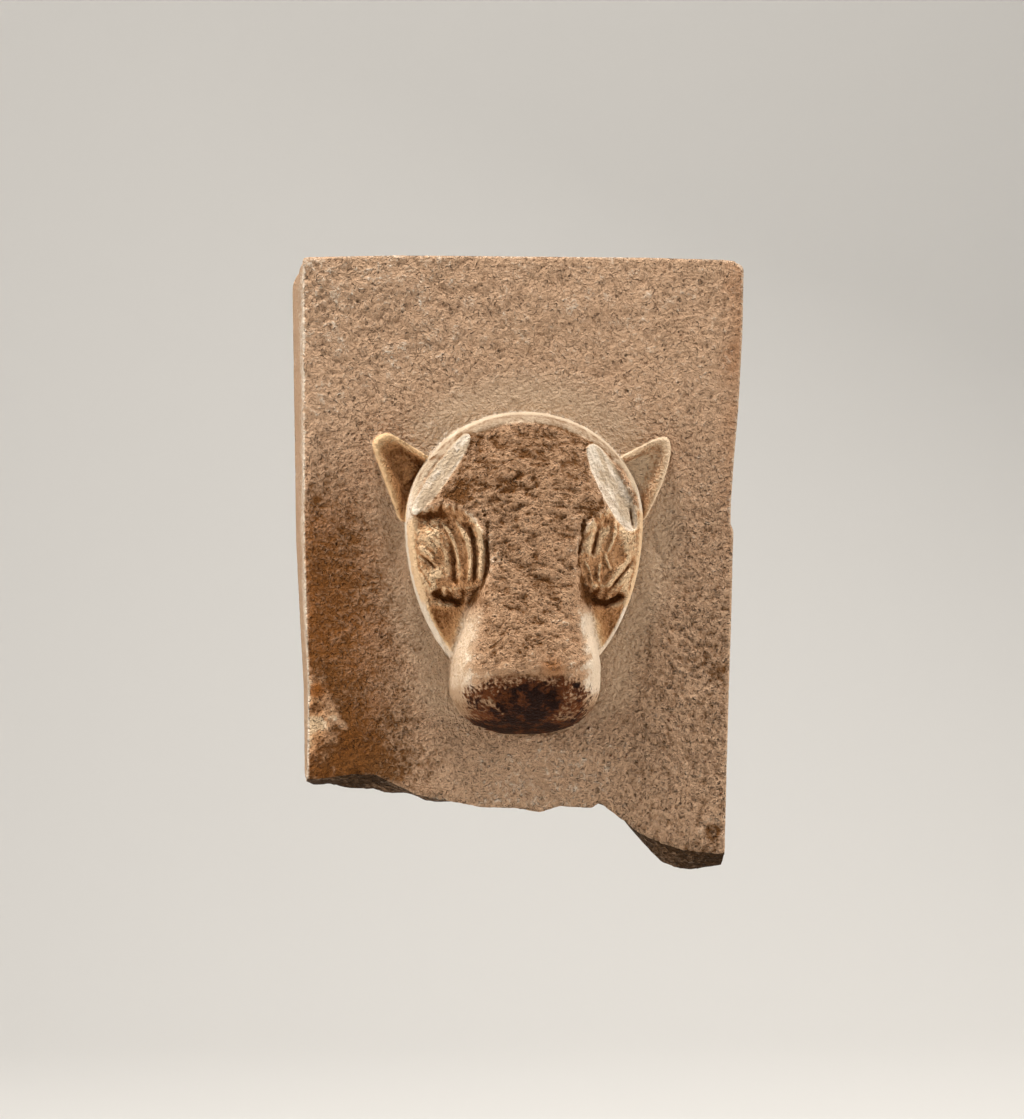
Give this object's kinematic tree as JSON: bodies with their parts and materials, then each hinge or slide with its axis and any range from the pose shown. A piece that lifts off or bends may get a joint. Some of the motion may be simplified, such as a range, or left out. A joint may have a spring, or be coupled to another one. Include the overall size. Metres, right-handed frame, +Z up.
{
  "type": "stone relief panel",
  "caption": "Upright stone slab carved with a bull's head in high relief, its horns and foot broken off, for hanging or fixing to a wall.",
  "frame": {"origin": "middle of the flat back, on the back face, level with the top of the bull's eyes", "axes": "+Z up the slab, +Y out of the back face towards the wall, so the carved face looks along -Y, and +X to the right as seen from the front"},
  "size_m": [0.2484, 0.1198, 0.3411],
  "materials": {
    "stone": "dressed and pecked alabaster with a brown patina, smoother and paler on the carved edges"
  },
  "bodies": {
    "root": {"relief_panel": "stone"}
  },
  "joints": []
}
